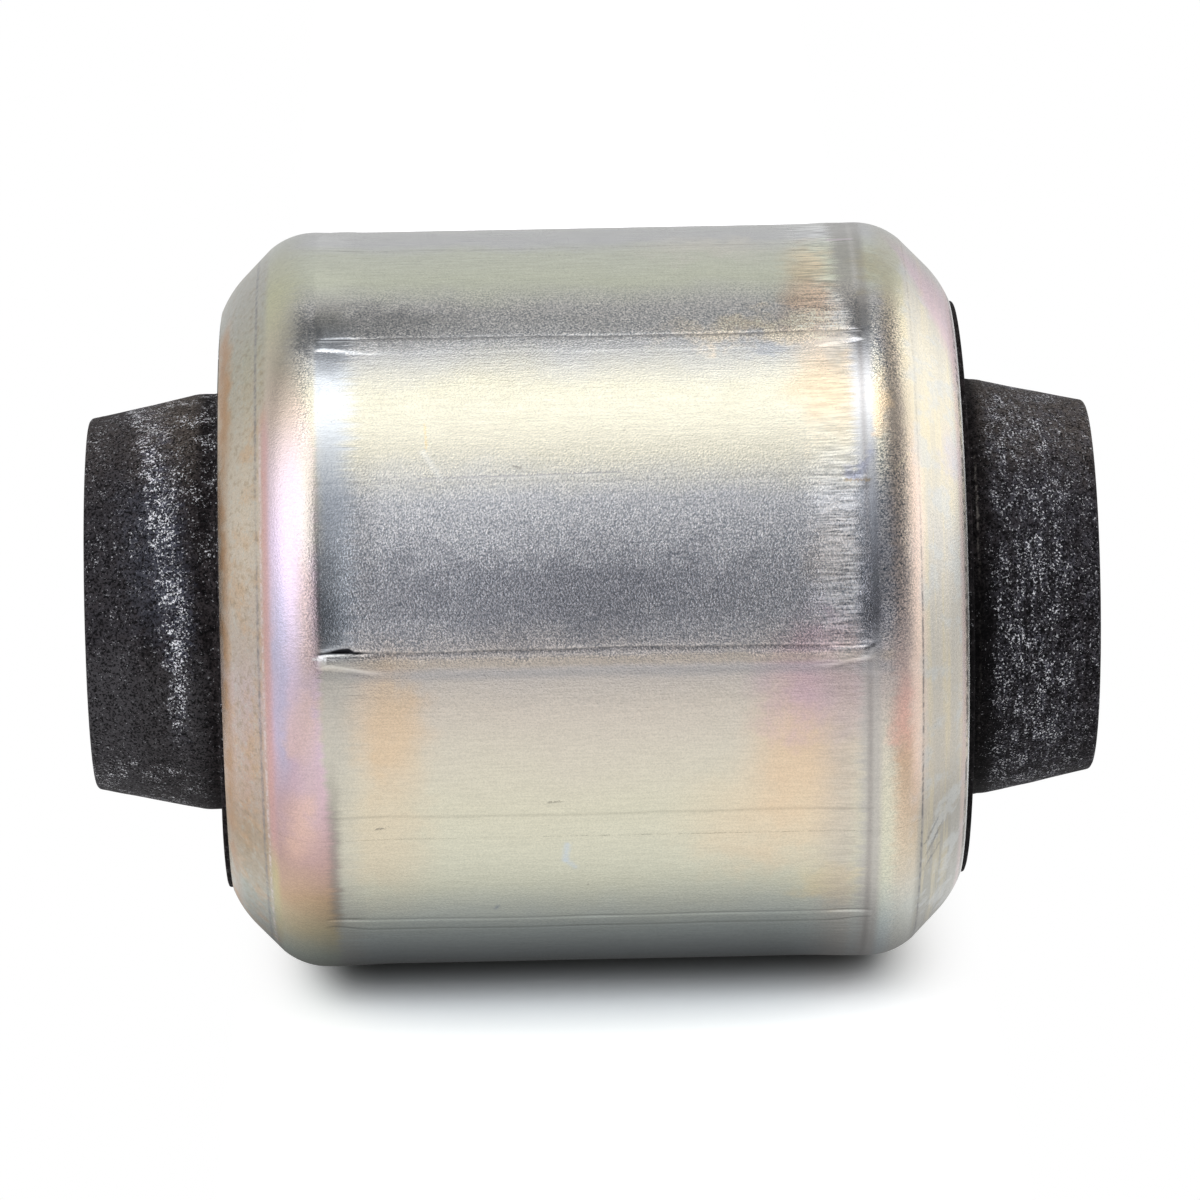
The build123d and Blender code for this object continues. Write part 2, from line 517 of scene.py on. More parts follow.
def finish_surface(graph, obj, colour, height, values):
    """Ends the material in a surface of that colour, with fine relief of that height in mm."""
    relief = graph.node("Bump", {"Strength": 1, "Distance": MM, "Height": height}).outputs[0]
    values = {"Base Color": colour, "Normal": relief, **values}
    finish_material(graph, obj, graph.node("BsdfPrincipled", values).outputs[0])


BACK_START = 105.0
BACK_RATE = 3.4
BACK_END = -150.0


def bush_places(graph):
    """Places on the bush for its materials: position and height z in mm, the angle in degrees from the side
    that the photograph shows, upwards, and the turn. That is the same angle as far as BACK_START; behind the
    bush it runs back down to BACK_END, so that it has no jump there."""
    position = graph.vector("DIVIDE", graph.node("TexCoord").outputs["Object"], (MM, MM, MM))
    z = graph.node("SeparateXYZ", {0: position}).outputs["Z"]
    front = graph.vector("DOT_PRODUCT", position, tuple(TO_CAMERA))
    top = graph.vector("DOT_PRODUCT", position, tuple(PICTURE_UP))
    angle = graph.times(graph.math("ARCTAN2", top, front), 180 / math.pi)
    running_back = graph.scaled(angle, -BACK_RATE, BACK_START * (1 + BACK_RATE))
    return position, z, angle, graph.most(graph.math("MINIMUM", angle, running_back), BACK_END)


# ---- zinc-plated steel

# Zinc-plated steel, passivated yellow. The plating shows interference colours, so each zone of the sleeve
# has its own run of hues round the bush, given as (angle, red, green, blue). Each ends as it begins.
SEAT_HUES = (
    (-180, 206, 204, 198), (-110, 206, 207, 200), (-76, 194, 203, 206), (-64, 199, 208, 206),
    (-50, 209, 209, 190), (-34, 212, 208, 188), (-18, 213, 204, 192), (-9, 207, 200, 196),
    (-4, 203, 202, 205), (14, 203, 203, 205), (22, 214, 210, 194), (32, 213, 209, 190), (41, 205, 206, 207),
    (49, 203, 202, 200), (57, 205, 208, 190), (66, 205, 208, 194), (72, 202, 203, 204),
    (115, 206, 206, 200),
)
LOWER_SHOULDER_HUES = (
    (-180, 208, 202, 194), (-75, 196, 206, 192), (-64, 206, 194, 160), (-54, 196, 168, 138),
    (-44, 190, 160, 154), (-32, 208, 180, 186), (-20, 220, 196, 214), (-8, 216, 200, 216),
    (0, 228, 208, 224), (10, 226, 208, 228), (20, 226, 208, 214), (30, 224, 206, 192), (40, 206, 198, 180),
    (56, 202, 202, 172), (80, 200, 202, 192),
)
LOWER_CONE_HUES = (
    (-180, 200, 198, 190), (-62, 172, 176, 164), (-46, 178, 154, 124), (-32, 200, 174, 156),
    (-16, 210, 192, 190), (-8, 206, 190, 178), (8, 214, 200, 182), (26, 206, 194, 174), (44, 190, 187, 168),
    (60, 188, 188, 178),
)
UPPER_SHOULDER_HUES = (
    (-180, 208, 204, 196), (-62, 198, 200, 192), (-44, 208, 194, 172), (-28, 216, 188, 162),
    (-16, 212, 184, 174), (-6, 208, 192, 182), (10, 212, 198, 180), (28, 218, 206, 184),
    (46, 222, 212, 186), (58, 206, 204, 180), (80, 204, 204, 198),
)
UPPER_CONE_HUES = (
    (-180, 206, 204, 196), (-62, 154, 154, 144), (-46, 172, 168, 158), (-30, 208, 200, 186),
    (-12, 210, 203, 190), (8, 208, 204, 196), (26, 220, 211, 188), (38, 222, 215, 196), (50, 216, 209, 192),
    (64, 208, 204, 198), (90, 206, 204, 200),
)
# Soft oval stains, and patches of painted shade and highlight: colour, strength, height and half length in
# mm, angle and half width in degrees
SEAT_STAINS_AND_SHADE = (
    ((226, 194, 156), 0.6, -13.8, 3.4, -20, 15),
    ((222, 190, 156), 0.28, -14.6, 4.4, -40, 18),
    ((228, 196, 162), 0.65, 13.4, 4.4, -27, 20),
    ((206, 176, 192), 0.7, 14.8, 5.4, -14, 12),
    ((198, 166, 136), 0.65, 15, 2.5, 50, 12),
    # Painted shade: two grey patches in front, where the seat reflects the dark surroundings
    ((162, 162, 168), 0.8, -0.8, 17.5, 0.2, 9.5),
    ((156, 156, 162), 0.4, -12, 5, 2, 8),
    ((146, 146, 146), 0.6, -15.5, 9.5, 46.5, 5.5),
    ((238, 226, 206), 0.85, 12, 8.5, 43.5, 4.5),
    ((178, 184, 194), 0.55, 12, 2.2, 39.5, 2.6),
    ((218, 214, 204), 0.6, 8.5, 6, 68, 7),
    ((226, 200, 168), 0.6, 15.8, 3.4, 33, 12),
    ((226, 206, 178), 0.6, 11, 7, -38, 14),
    ((232, 214, 172), 0.6, 15.6, 3, -51, 7),
)
UPPER_SHOULDER_STAINS_AND_GLINT = (
    ((178, 168, 134), 0.5, 19.2, 1.5, 60, 8),
    # A painted highlight: a warm glint on the upper shoulder
    ((252, 222, 182), 0.6, 19.2, 0.9, 28, 6),
    ((196, 190, 210), 0.4, 24.2, 1.2, 24, 7),
    ((216, 216, 226), 0.55, 18.4, 1.3, -3, 12),
)
GRIP_STAINS = (
    ((150, 154, 160), 0.45, -17.6, 1.8, 38.5, 4.5),
    ((118, 120, 122), 0.6, -19, 1.1, 43.5, 6.5),
    ((204, 180, 146), 0.5, 15, 2.2, 62, 9),
    ((140, 146, 176), 0.6, 17.5, 1, 18.6, 2.6),
    ((206, 206, 204), 0.45, 18.3, 1.1, 44, 4),
    ((176, 164, 152), 0.4, 15.6, 2.4, 5, 9),
)
# Single scratches and spots, and painted highlights on seam lips: both ends as (height in mm, angle in
# degrees), width in mm, colour and strength
MARKS_AND_HIGHLIGHTS = (
    ((-11.3, 22.5), (-10, 17.6), 0.35, (236, 236, 232), 0.35),
    ((-11.1, 27), (-11, 22.5), 0.12, (226, 206, 160), 0.6),
    ((-5.3, 19.8), (-4.7, 19.4), 0.14, (110, 108, 106), 0.6),
    ((-11.7, 18), (2, 18.5), 0.09, (160, 160, 168), 0.5),
    ((-11.7, 17.6), (0.5, 18.1), 0.09, (232, 230, 230), 0.35),
    # Painted highlights on the lower lip of the seam at about 43 degrees: its edge, then its wavy end
    ((-18.4, 40.7), (-16.4, 40.5), 0.12, (246, 242, 242), 0.85),
    ((-16.4, 40.4), (-15.9, 39.2), 0.1, (236, 234, 232), 0.6),
    ((-15.9, 39.2), (-15, 39.4), 0.1, (236, 234, 232), 0.6),
    ((-15, 39.4), (-14.1, 40.7), 0.1, (236, 234, 232), 0.6),
    # A painted highlight on the edge of the lower lip of the seam in front
    ((-18.8, -9), (-17.2, -9), 0.16, (255, 252, 252), 0.9),
    ((-2.1, -41), (-2.3, -45), 0.4, (196, 210, 226), 0.5),
    ((-2.3, -44.5), (-1.5, -46.5), 0.35, (196, 210, 226), 0.4),
    ((-7.05, -55.8), (-6.85, -56), 0.55, (140, 150, 168), 0.6),
    ((-15, -37.6), (-14.3, -37.4), 0.1, (90, 88, 86), 0.7),
    ((-3.4, -33.2), (-2.4, -33), 0.1, (110, 106, 100), 0.6),
    ((20.1, 18), (21.2, 21.4), 0.1, (240, 226, 200), 0.75),
    ((16.7, 16.4), (18.5, 16.4), 0.16, (166, 140, 92), 0.6),
    ((16.5, 70), (18.3, 70), 0.34, (222, 208, 220), 0.6),
    ((22, -46), (22.9, -42), 0.12, (90, 92, 94), 0.5),
    ((22.1, -49), (23, -45), 0.14, (90, 92, 94), 0.5),
    ((22.3, -51.5), (23.1, -48.5), 0.12, (90, 92, 94), 0.5),
    ((22.5, -47), (23.3, -43.5), 0.1, (100, 100, 102), 0.5),
    ((21.9, -52.5), (22.6, -50), 0.12, (90, 92, 94), 0.4),
)

g = new_material("zinc_plated_steel_look")
position, z, angle, turn = bush_places(g)
broad_cloud = g.noise(position, 0.17, 3, 0.6)
cloud = g.noise(position, 0.5, 3, 0.6, shift=(11, 60, 29))
grain = g.noise(position, 8, 2, 0.7)
fleck = g.noise(position, 2.2, 3, 0.7, shift=(3, 5, 8))
comb = g.noise(position, 6.5, 2, 0.7, stretch=(1, 1, 0.07))
comb_reach = g.noise(position, 2.2, 3, 0.75, stretch=(1, 1, 0.02))
rings = g.noise(position, 1.6, 4, 0.7, stretch=(0.03, 0.03, 1))

# At both edges of the die's grip lies a smooth band with a ragged inner edge. Combed scratches reach in from
# the upper one, but not behind the bush.
lower_band = g.times(g.step(z, -18.6, -18.2), g.step(g.wavy(z, comb_reach, 0.7), -15.2, -17.2))
upper_edge = g.plus(g.wavy(z, comb_reach, 0.45), g.step(turn, 46, 53, -0.2, 0.5))
upper_band = g.times(g.step(upper_edge, 16.8, 17.8), g.step(z, 19.2, 18.6))
not_behind = g.between(angle, -105, 15, 108, 10)
combed = g.times(g.between(upper_edge, 14.6, 1.8, 17.3, 0.6), g.step(turn, -14, -7, 0.16, 1))
combed = g.times(combed, not_behind, g.without(g.hill(angle, 30, 16), 0.6))


def round_the_bush(hues, unevenness):
    """The hues of one zone by the angle, with borders that stray by about the unevenness in degrees."""
    round_share = g.scaled(g.wavy(angle, broad_cloud, unevenness), 1 / 360, 0.5)
    closed = (*hues, (180, *hues[0][1:]))
    return g.ramp(round_share, [((a + 180) / 360, rgb(*hue)[:3]) for a, *hue in closed])


def patch(colour, hue, strength, at_z, z_width, at_angle, angle_width):
    """Paints a soft oval patch on the colour, with a wavy edge."""
    along = g.math("DIVIDE", g.minus(g.wavy(z, cloud, 0.8), at_z), z_width)
    around = g.math("DIVIDE", g.minus(g.wavy(angle, cloud, 4), at_angle), angle_width)
    away = g.vector("LENGTH", g.point(along, around))
    return g.paint(colour, g.step(away, 0.15, 1.1, strength, 0), hue)


def strip(at_z, half_width, raggedness, start, start_edge, end, end_edge):
    """Where a strip lies at a height in mm, from one angle to another in degrees."""
    on_line = g.hill(g.wavy(z, cloud, raggedness), at_z, half_width)
    return g.times(on_line, g.between(angle, start, start_edge, end, end_edge))


def seat_colour():
    """Hues, stains and painted shade of the seat."""
    colour = round_the_bush(SEAT_HUES, 2)
    for oval_patch in SEAT_STAINS_AND_SHADE:
        colour = patch(colour, *oval_patch)
    # Below the seam in front, a strip of straw colour and one of blue-grey
    below_seam = g.minus(FIRST_SEAM, g.wavy(angle, cloud, 0.25))
    colour = g.paint(colour, g.between(below_seam, 1, 0.4, 2.4, 0.4), (214, 198, 174), 0.35)
    colour = g.paint(colour, g.between(below_seam, 2.8, 0.4, 4.2, 0.8), (170, 174, 180), 0.35)
    return colour


def grip_edges(colour):
    """Neutral bands at the edges of the die's grip, paler or darker in front."""
    in_front = g.between(angle, -9, 1.5, 46, 5)
    band_hue = g.mix(in_front, rgb(186, 184, 174), rgb(192, 198, 206))
    band_strength = g.times(g.scaled(in_front, 0.35, 0.5), g.step(turn, 58, 44))
    colour = g.mix(g.times(lower_band, band_strength), colour, band_hue)
    pale = g.times(lower_band, g.between(angle, 0, 3, 11, 4))
    colour = g.paint(colour, pale, (236, 240, 246), 0.7)
    band_hue = g.mix(in_front, rgb(182, 178, 174), rgb(190, 193, 200))
    band_hue = g.paint(band_hue, g.step(turn, 48, 58), (162, 160, 155))
    colour = g.mix(g.times(upper_band, 0.8), colour, band_hue)
    beside = g.times(g.between(upper_edge, 14.8, 1.4, 17, 0.6), g.step(turn, -2, -14))
    colour = g.paint(colour, beside, (194, 182, 172), 0.5)
    edge_hue = g.mix(g.step(turn, 46, 54), rgb(136, 130, 128), rgb(206, 204, 200))
    colour = g.mix(g.times(g.hill(z, 18.15, 0.35), 0.4), colour, edge_hue)
    return colour


def lower_end(colour):
    """Shoulder and cone of the lower end. The shoulder's hues begin sharply in front and softly on top."""
    outer_edge = g.step(turn, 20, 44, -18.75, -21.4)
    inner_edge = g.plus(g.step(turn, 20, 44, -18.15, -18.6), g.step(turn, -18, -44, 0, 0.9))
    outer_edge = g.plus(outer_edge, g.step(turn, -18, -44, 0, 0.6))
    lower_shoulder = g.step(g.wavy(z, comb_reach, 0.25), inner_edge, outer_edge)
    colour = g.mix(lower_shoulder, colour, round_the_bush(LOWER_SHOULDER_HUES, 2.5))
    dull = strip(-19.15, 1.2, 0.25, -36, 10, 8, 6)
    dull = g.times(dull, g.step(turn, -16, -8, 0.4, 0.95))
    colour = g.paint(colour, dull, (204, 182, 178))
    cream = strip(-18.9, 1.2, 0.25, 6, 5, 24, 6)
    colour = g.paint(colour, cream, (228, 220, 196), 0.65)
    bluish = strip(-21, 0.8, 0.3, -28, 5, 3, 6)
    colour = g.paint(colour, bluish, (190, 194, 222), 0.5)
    cone = round_the_bush(LOWER_CONE_HUES, 5)
    cone = g.paint(cone, g.step(rings, 0.35, 0.65, 0, 0.35), (196, 190, 180))
    blotch = g.times(g.step(cloud, 0.48, 0.66, 0, 0.5), g.step(turn, 44, 24))
    cone = g.paint(cone, blotch, (210, 176, 140))
    cone = g.paint(cone, g.step(fleck, 0.5, 0.66, 0, 0.45), (164, 150, 124))
    cone = g.paint(cone, g.step(fleck, 0.46, 0.34, 0, 0.35), (196, 200, 192))
    colour = g.mix(g.step(z, -21.5, -22), colour, cone)
    colour = patch(colour, (238, 206, 188), 0.45, -19.7, 1.5, -19.5, 7)
    colour = patch(colour, (232, 194, 168), 0.42, -20.1, 1.7, -37, 8)
    rust = g.times(g.hill(g.wavy(z, cloud, 0.3), -24.65, 0.7), g.between(turn, 30, 8, 60, 5))
    colour = g.paint(colour, rust, (200, 152, 102), 0.8)
    return colour


def upper_end(colour):
    """Shoulder and cone of the upper end."""
    upper_shoulder = g.step(g.wavy(z, comb_reach, 0.3), 19.3, 20.4)
    colour = g.mix(upper_shoulder, colour, round_the_bush(UPPER_SHOULDER_HUES, 3))
    cone = round_the_bush(UPPER_CONE_HUES, 5)
    cone = g.paint(cone, g.step(rings, 0.35, 0.6, 0.4, 0), (190, 188, 182))
    cone = g.paint(cone, g.step(rings, 0.5, 0.65, 0, 0.45), (222, 210, 178))
    colour = g.mix(g.step(z, 21.2, 21.7), colour, cone)
    marble = g.times(g.step(z, 20.6, 21.6), g.step(cloud, 0.48, 0.62, 0, 0.55))
    colour = g.paint(colour, marble, (204, 207, 206))
    lilac = g.step(g.wavy(g.scaled(angle, 0.14, z), cloud, 0.3), 30.3, 31.5)
    lilac = g.times(lilac, g.between(angle, 36, 4, 72, 8))
    colour = g.paint(colour, lilac, (220, 190, 202), 0.7)
    colour = patch(colour, (238, 186, 172), 0.5, 20.4, 1, -21, 8)
    violet = g.between(g.wavy(z, cloud, 0.3), 19.5, 0.5, 20.8, 0.4)
    violet = g.times(violet, g.between(angle, -14, 8, 50, 8))
    colour = g.paint(colour, violet, (156, 142, 150), 0.35)
    pink = strip(21.4, 0.85, 0.2, -34, 8, 22, 8)
    colour = g.paint(colour, pink, (250, 224, 208), 0.75)
    for oval_patch in UPPER_SHOULDER_STAINS_AND_GLINT:
        colour = patch(colour, *oval_patch)
    return colour


def grip_stains(colour):
    """A dark streak and stains near the edges of the grip."""
    streak = g.times(g.hill(g.wavy(z, comb_reach, 0.3), -17.75, 0.75), g.between(angle, -60, 5, -30, 8))
    colour = g.paint(colour, streak, (126, 120, 118), 0.55)
    for oval_patch in GRIP_STAINS:
        colour = patch(colour, *oval_patch)
    return colour


def fold_lines(colour):
    """Lines where the sheet was folded in: a pink one and a grey one at the lower end, a dotted one at the
    upper end, and a coloured line along each rim. By the upper rim also a dotted painted shadow of small
    burrs, and a painted highlight on the round of the rim."""
    dots = g.step(fleck, 0.42, 0.58)
    fold = strip(-21.85, 0.5, 0.05, -72, 6, 30, 5)
    fold_hue = g.mix(g.step(turn, -40, -50), rgb(222, 176, 176), rgb(204, 192, 146))
    colour = g.mix(g.times(fold, 0.7), colour, fold_hue)
    grey_line = g.times(g.hill(z, -22.45, 0.16), g.scaled(dots, 0.5, 0.3))
    grey_line = g.times(grey_line, g.scaled(g.hill(angle, 12, 20), -0.4, 0.75))
    colour = g.paint(colour, grey_line, (130, 132, 140))
    flecks = g.times(g.hill(z, -22.15, 0.16), g.times(dots, g.step(turn, 36, 22, 0, 0.6)))
    colour = g.paint(colour, flecks, (238, 226, 224))
    brown_rim = g.times(g.hill(g.wavy(z, cloud, 0.1), -24.75, 0.55), g.step(cloud, 0.35, 0.6, 0.45, 1))
    brown_rim = g.times(brown_rim, g.step(turn, 66, 50))
    colour = g.paint(colour, brown_rim, (182, 144, 106), 0.9)
    dark_line = g.times(g.hill(z, 21.75, 0.12), g.scaled(dots, 0.7, 0.3), g.step(turn, 15, -5, 0.25, 0.75))
    colour = g.paint(colour, dark_line, (96, 96, 100))
    colour = g.paint(colour, g.hill(z, 24.7, 0.3), (206, 176, 178), 0.5)
    # A dotted painted shadow of small burrs by the upper rim
    colour = g.paint(colour, g.times(g.hill(z, 24.9, 0.13), dots), (104, 96, 94))
    # A painted highlight on the round of the upper rim
    colour = g.paint(colour, g.step(z, 24.98, 25.06), (240, 240, 240))
    return colour


def coarseness():
    """How coarse the speckle is: most on the jaw in front, on the flat above it and on the upper shoulder."""
    # The speckle is partly painted reflection: it is strongest where the sleeve reflects dark surroundings
    coarse = g.times(g.between(g.wavy(angle, cloud, 1), -9.5, 1, 17, 9), g.step(g.size_of(z), 18.5, 18.2))
    above = g.times(g.between(g.wavy(angle, cloud, 1), 42, 4, 52, 5), g.between(z, -19.7, 0.5, 18.3, 0.2))
    high_corner = g.times(g.hill(z, -19.2, 1.1), g.between(angle, 24, 5, 50, 5))
    above = g.most(above, g.times(high_corner, 0.9))
    low_corner = g.times(g.hill(z, -19.1, 0.8), g.between(angle, -10, 2, 6, 6))
    above = g.most(above, g.times(low_corner, 0.5))
    coarse = g.most(coarse, g.times(above, 1.3))
    coarse = g.times(coarse, g.without(lower_band, 0.6))
    frosted = g.times(g.between(z, 18.9, 0.4, 20.9, 0.8), g.step(turn, -16, 0, 0.12, 1))
    frosted = g.times(frosted, g.without(g.hill(angle, 28, 9), 0.8))
    frosted = g.times(frosted, not_behind, g.step(angle, 54, 44))
    coarse = g.most(coarse, g.times(frosted, 1.9))
    coarse = g.times(coarse, g.step(fleck, 0.32, 0.68, 0.6, 1.3))
    # It is also fainter in the highlight
    return g.plus(coarse, g.scaled(g.hill(angle, 28, 16), -0.12, 0.21))


def speckle(colour):
    """Speckle, warm where light and cool where dark, and short scratches along the axis."""
    coarse = coarseness()
    grains = g.minus(g.step(grain, 0.34, 0.66), 0.5)
    speck = g.scaled(grains, g.times(coarse, 0.64), 1)
    scratch = g.minus(g.step(comb, 0.36, 0.64), 0.5)
    brushed = g.most(combed, g.step(turn, 50, 64, 0.08, 0.14))
    speck = g.scaled(scratch, g.times(brushed, 0.8), speck)
    speck = g.scaled(combed, g.step(turn, 6, 26, 0.05, 0.22), speck)
    warm = g.times(grains, g.times(coarse, 0.06))
    speck_hue = {0: g.plus(speck, warm), 1: speck, 2: g.minus(speck, warm)}
    colour = g.mix(1, colour, g.node("CombineColor", speck_hue).outputs[0], "MULTIPLY")
    colour = g.paint(colour, g.step(fleck, 0.68, 0.76, 0, 0.35), (120, 118, 116))
    return colour


# The surface of the seat, unrolled
MM_PER_DEGREE = SEAT_RADIUS * math.pi / 180
unrolled = g.point(z, g.times(angle, MM_PER_DEGREE))


def mark(colour, start, end, width, hue, strength):
    """Paints one mark on the colour."""
    place = g.vector("SUBTRACT", unrolled, (start[0], start[1] * MM_PER_DEGREE, 0))
    dz = end[0] - start[0]
    da = (end[1] - start[1]) * MM_PER_DEGREE
    length = math.hypot(dz, da)
    along = g.vector("DOT_PRODUCT", place, (dz / length, da / length, 0))
    aside = g.vector("DOT_PRODUCT", place, (-da / length, dz / length, 0))
    on_line = g.times(g.hill(g.wavy(aside, grain, 0.14), 0, width), g.between(along, 0, 0.15, length, 0.15))
    return g.paint(colour, on_line, hue, strength)


colour = seat_colour()
for paint_layer in (grip_edges, lower_end, upper_end, grip_stains, fold_lines, speckle):
    colour = paint_layer(colour)
for one_mark in MARKS_AND_HIGHLIGHTS:
    colour = mark(colour, *one_mark)
# Dirt and painted shade in the slits beside the seams, and painted highlights on their lips
slit_dirt_and_shade = g.node("Attribute", attribute_name="slit_dirt_and_shade").outputs["Fac"]
lip_highlight = g.node("Attribute", attribute_name="lip_highlight").outputs["Fac"]
colour = g.paint(colour, g.math("MULTIPLY", slit_dirt_and_shade, 0.85, clamp=True), (34, 34, 38))
colour = g.paint(colour, g.math("MULTIPLY", lip_highlight, 0.6, clamp=True), (222, 222, 220))

# The fine scratches run along the axis, so reflections spread round the bush more than along it
bands = g.most(lower_band, upper_band)
roughness = g.wavy(0.2, cloud, 0.02)
roughness = g.minus(roughness, g.times(bands, 0.05))
roughness = g.scaled(combed, 0.13, roughness)
round_about = g.node("Tangent", direction_type="RADIAL", axis="Z").outputs[0]
height = g.scaled(grain, 0.02, g.times(comb, 0.008))
height = g.times(height, g.without(bands, 0.6))
plating = {"Metallic": 1, "Roughness": roughness, "Anisotropic": 0.8, "Tangent": round_about}
finish_surface(g, sleeve, colour, height, plating)


# ---- rubber

# Rubber, near black, with pale dust in specks and a haze of brownish dust on top
g = new_material("rubber_look")
position, z, angle, turn = bush_places(g)
far = g.size_of(z)
cloud = g.noise(position, 0.45, 3, 0.65)
fine_cloud = g.noise(position, 1.3, 3, 0.6, shift=(5, 31, 17))
specks = g.noise(position, 6.5, 2, 0.8)
clumps = g.noise(position, 1.9, 5, 0.75, shift=(9, 2, 4))
pits = g.noise(position, 6, 3, 0.7, shift=(1, 7, 3))
streaks = g.noise(position, 3, 3, 0.7, stretch=(1, 1, 0.25))

# Lower nose: a dense, slanting band of dust, thinner dust on both sides of it, and dust on the underside
slant = g.scaled(g.most(turn, -6), 0.03, g.wavy(z, clumps, 0.9))
band = g.times(g.hill(slant, -28.4, g.step(turn, -28, 4, 1, 2)), g.between(turn, -40, 12, 92, 12))
band = g.times(band, g.step(cloud, 0.32, 0.6, 0.5, 1.1))
lower_tip = g.times(g.step(slant, -29.2, -30.2), g.step(turn, -24, 20, 0.08, 0.45))
lower_root = g.times(g.step(slant, -28.4, -27.2), g.step(turn, -5, 24, 0.1, 0.85))
gathered = g.step(g.noise(position, 0.55, 2, 0.5, shift=(21, 4, 13)), 0.42, 0.62, 0.25, 1)
thin = g.times(g.most(lower_tip, lower_root), gathered)
lower_dust = g.most(band, g.times(thin, g.step(z, 0, -1)))
underside = g.times(g.step(g.wavy(turn, cloud, 4), -44, -56), g.step(far, 26.2, 27.2))
underside = g.times(underside, gathered, g.step(z, 0, -1, 0, 0.7))
lower_dust = g.most(lower_dust, underside)

# Upper nose: even dust in faint hoops, but none on a strip beside the sleeve
upper_dust = g.times(g.step(g.wavy(z, cloud, 0.5), 26.4, 27.8), g.step(cloud, 0.3, 0.6, 0.45, 0.8))
hoops = g.noise(position, 1.6, 3, 0.7, stretch=(0.3, 0.3, 1))
upper_dust = g.times(upper_dust, g.step(hoops, 0.36, 0.6, 0.45, 1.15), g.step(z, 31.5, 33.5, 1, 0.55))
dust = g.most(lower_dust, upper_dust)


def haze(colour, where, thin, thick, hue):
    """Paints a haze of dust as far as the mask says, uneven from thin to thick."""
    return g.paint(colour, g.times(where, g.step(clumps, 0.3, 0.6, thin, thick)), hue)


# The rubber with its hazes: brownish on top, bluish in the band, grey at the tip, in front and below
colour = g.mix(g.step(fine_cloud, 0.35, 0.65), rgb(28, 24, 25), rgb(58, 53, 54))
colour = g.paint(colour, g.step(clumps, 0.5, 0.75, 0, 0.6), (80, 76, 78))
on_top = g.times(g.between(g.wavy(angle, cloud, 8), 41, 19, 148, 26), g.step(far, 26.2, 27.2))
colour = haze(colour, on_top, 0.3, 0.75, (112, 103, 96))
colour = g.paint(colour, g.times(band, g.step(streaks, 0.4, 0.65, 0.15, 0.7)), (104, 107, 124))
colour = haze(colour, g.step(z, -30, -32), 0.3, 0.8, (66, 64, 68))
in_front = g.times(g.between(g.wavy(turn, cloud, 4), -8, 8, 34, 10), g.hill(slant, -29.4, 3))
colour = haze(colour, in_front, 0.25, 0.7, (84, 86, 96))
below = g.times(g.step(g.wavy(turn, cloud, 4), -8, -24), g.step(z, -25.8, -27))
colour = haze(colour, below, 0.25, 0.65, (86, 84, 86))
colour = g.paint(colour, g.times(upper_dust, g.step(fine_cloud, 0.4, 0.65, 0.45, 1)), (86, 86, 95))

# Dark pits, deeper on the upper nose, and a darker strip beside the sleeve, darker still below and behind
pitted = g.times(g.step(z, -1, 1), g.step(turn, 26, -4, 0, 0.035))
pitted = g.minus(pits, pitted)
colour = g.paint(colour, g.step(pitted, 0.52, 0.42, 0, 0.92), (5, 5, 6))
dark_strip = g.times(g.step(g.wavy(z, clumps, 0.4), 28.2, 26.8), g.step(z, 24, 25))
dark_strip = g.times(dark_strip, g.step(turn, 14, -2, 0.1, 0.6))
colour = g.paint(colour, dark_strip, (14, 14, 15))

# Specks of dust, denser where there is more of it
threshold = g.scaled(dust, -0.125, g.scaled(band, -0.02, 0.68))
threshold = g.scaled(g.minus(clumps, 0.5), g.step(z, -1, 1, -0.4, -0.26), threshold)
shown = g.minus(specks, threshold)
shown = g.times(g.step(shown, -0.015, 0.04), g.step(shown, 0, 0.1, 0.6, 1))
strength = g.scaled(g.times(dust, g.step(z, -1, 1, 1, 0.72)), 0.95, 0.42)
shown = g.math("MULTIPLY", shown, strength, clamp=True)
colour = g.paint(colour, shown, (244, 244, 248))
# The thread of flash, pale where it catches dust
thread = g.hill(g.wavy(z, fine_cloud, 0.12), FLASH_HEIGHT - 0.15, 0.14)
thread = g.times(thread, g.step(clumps, 0.4, 0.6, 0, 0.7))
thread = g.times(thread, g.scaled(g.hill(turn, 22, 26), 0.9, 0.1))
colour = g.paint(colour, thread, (150, 144, 138))
height = g.scaled(specks, 0.02, g.times(fine_cloud, 0.05))
finish_surface(g, rubber, colour, height, {"Roughness": 0.7, "Specular IOR Level": 0.045})


# ---- turned steel

g = new_material("turned_steel_look")
position, *_ = bush_places(g)
radius = g.vector("LENGTH", g.vector("MULTIPLY", position, (1, 1, 0)))
ring_values = {"W": radius, "Scale": 9, "Detail": 3}
rings = g.node("TexNoise", ring_values, noise_dimensions="1D").outputs["Fac"]
stained = g.step(g.noise(position, 0.5, 3, 0.6), 0.35, 0.7)
colour = g.mix(stained, rgb(176, 177, 180), rgb(150, 148, 146))
height = g.times(rings, 0.008)
finish_surface(g, inner, colour, height, {"Metallic": 1, "Roughness": 0.34})


# ---- floor

# The floor lies a hair below the sleeve, so that the two never share a face
FLOOR_GAP = 0.03
FLOOR_X = (SEAT_RADIUS + FLOOR_GAP) * MM
FLOOR_REACH = 2.5
floor_corners = [(-1, -1), (-1, 1), (1, 1), (1, -1)]
floor_points = [(FLOOR_X, y * FLOOR_REACH, z * FLOOR_REACH) for y, z in floor_corners]
floor_mesh = bpy.data.meshes.new("floor")
floor_mesh.from_pydata(floor_points, [], [(0, 1, 2, 3)])
floor = bpy.data.objects.new("floor", floor_mesh)
bpy.context.scene.collection.objects.link(floor)
